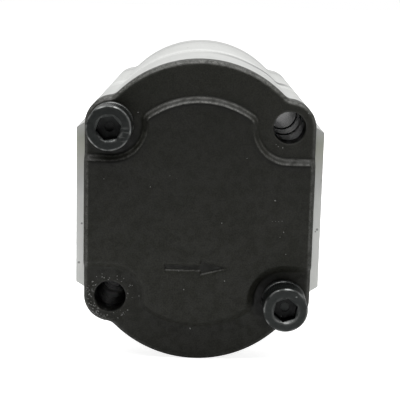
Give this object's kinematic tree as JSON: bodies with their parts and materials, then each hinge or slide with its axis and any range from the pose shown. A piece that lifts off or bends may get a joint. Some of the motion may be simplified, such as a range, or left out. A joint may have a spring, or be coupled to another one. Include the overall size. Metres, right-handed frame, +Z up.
{
  "type": "tandem gear pump",
  "caption": "Tandem hydraulic gear pump: gear sections on one drive line, black cast rear cover, pale alloy bodies, side ports, tapered shaft, through-bolt mounting.",
  "frame": {"origin": "middle of the front mounting face, on the drive shaft's axis", "axes": "+Y along the drive shaft, out of the pump; +Z up, towards the driven gears; the rear cover looks towards -Y"},
  "size_m": [0.0912, 0.2135, 0.1108],
  "materials": {
    "black_cast_cover": "matt black paint over a cast skin",
    "body_aluminium": "natural, finely machined",
    "block_alloy": "machined",
    "seal_rubber": "matt moulded",
    "bright_steel": "turned",
    "black_steel": "black oxide",
    "spring_steel": "oiled",
    "gear_steel": "ground"
  },
  "bodies": {
    "housing": {"rear_cover": "black_cast_cover", "rear_body": "body_aluminium", "front_body": "body_aluminium", "front_cover": "body_aluminium", "front_block_fore": "block_alloy", "front_block_aft": "block_alloy", "rear_block_fore": "block_alloy", "rear_block_aft": "block_alloy", "locating_sleeves": "bright_steel", "cap_screws": "black_steel", "lock_washers": "black_steel", "shaft_seal": "seal_rubber", "seal_circlip": "spring_steel"},
    "drive_shaft": {"front_drive_gear": "gear_steel", "coupling_disc": "gear_steel", "shaft_key": "bright_steel", "shaft_washer": "bright_steel", "shaft_nut": "bright_steel"},
    "front_driven_gear": {"front_driven_gear": "gear_steel"},
    "rear_drive_gear": {"rear_drive_gear": "gear_steel"},
    "rear_driven_gear": {"rear_driven_gear": "gear_steel"}
  },
  "joints": [
    {"name": "drive_spin", "type": "hinge", "parent": "housing", "child": "drive_shaft", "pos_m": [0, 0, 0], "axis": [0, 1, 0], "continuous": true},
    {"name": "front_driven_spin", "type": "hinge", "parent": "housing", "child": "front_driven_gear", "pos_m": [0, -0.047, 0.036], "axis": [0, 1, 0], "continuous": true},
    {"name": "rear_drive_spin", "type": "hinge", "parent": "housing", "child": "rear_drive_gear", "pos_m": [0, -0.1145, 0], "axis": [0, 1, 0], "continuous": true},
    {"name": "rear_driven_spin", "type": "hinge", "parent": "housing", "child": "rear_driven_gear", "pos_m": [0, -0.1145, 0.036], "axis": [0, 1, 0], "continuous": true}
  ],
  "couplings": [
    {"joint": "front_driven_spin", "follows": "drive_spin", "ratio": -1},
    {"joint": "rear_drive_spin", "follows": "drive_spin", "ratio": 1},
    {"joint": "rear_driven_spin", "follows": "drive_spin", "ratio": -1}
  ]
}
